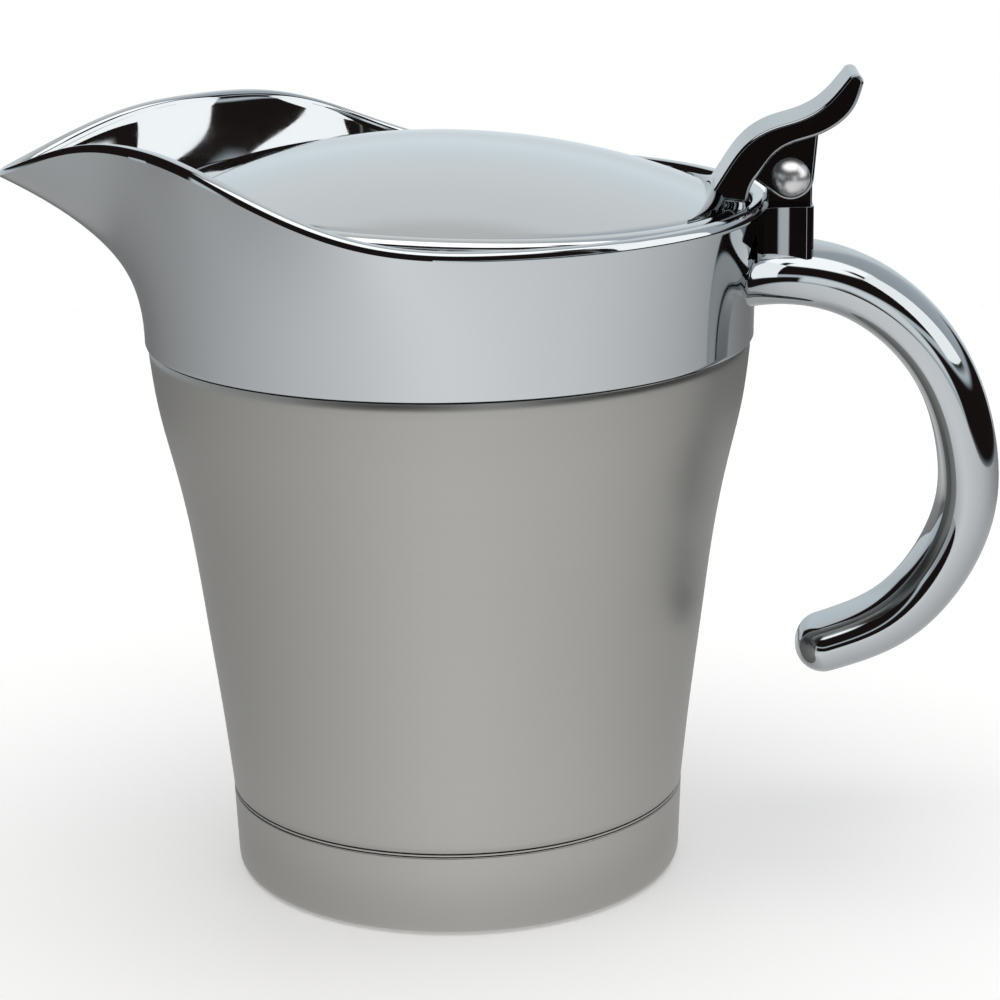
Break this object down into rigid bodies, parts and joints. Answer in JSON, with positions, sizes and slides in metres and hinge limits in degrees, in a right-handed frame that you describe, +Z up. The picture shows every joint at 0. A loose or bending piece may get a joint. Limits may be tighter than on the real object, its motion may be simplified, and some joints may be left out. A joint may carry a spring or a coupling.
{
  "type": "gravy boat",
  "caption": "Double-walled steel gravy boat with a swept pouring spout, an open C handle and a domed lid raised by a thumb lever.",
  "frame": {"origin": "centre of the foot's flat underside, on the vessel's axis", "axes": "+Z up along the vessel's axis, -X towards the spout, +X towards the handle, Y across along the hinge pin"},
  "size_m": [0.1709, 0.1174, 0.1392],
  "materials": {
    "brushed_body": "fine satin, brushed around the axis",
    "brushed_foot": "fine satin, brushed around the axis",
    "liner_steel": "soft satin, electropolished",
    "seal": "translucent white silicone",
    "collar_chrome": "bright chrome plate",
    "handle_chrome": "bright chrome plate",
    "hinge_chrome": "bright chrome plate",
    "lid_chrome": "bright polished",
    "lid_inner_steel": "satin",
    "pin_steel": "fine satin polish",
    "screw_steel": "plain stainless",
    "nylon": "natural nylon"
  },
  "bodies": {
    "vessel": {"outer_shell": "brushed_body", "base_cap": "brushed_foot", "inner_liner": "liner_steel", "liner_seal": "seal", "spout_collar": "collar_chrome", "handle": "handle_chrome", "handle_screws": "screw_steel", "hinge_post": "hinge_chrome", "post_screw": "screw_steel", "hinge_bush": "nylon"},
    "lid": {"lid_dome": "lid_chrome", "lid_pan": "lid_inner_steel", "lid_wing": "hinge_chrome", "thumb_lever": "hinge_chrome", "lever_screws": "screw_steel", "hinge_pin": "pin_steel", "pin_nut": "pin_steel", "hinge_washers": "nylon"}
  },
  "joints": [
    {"name": "lid_hinge", "type": "hinge", "parent": "vessel", "child": "lid", "pos_m": [0.0576, 0, 0.1226], "axis": [0, 1, 0], "range_deg": [0, 85]}
  ]
}
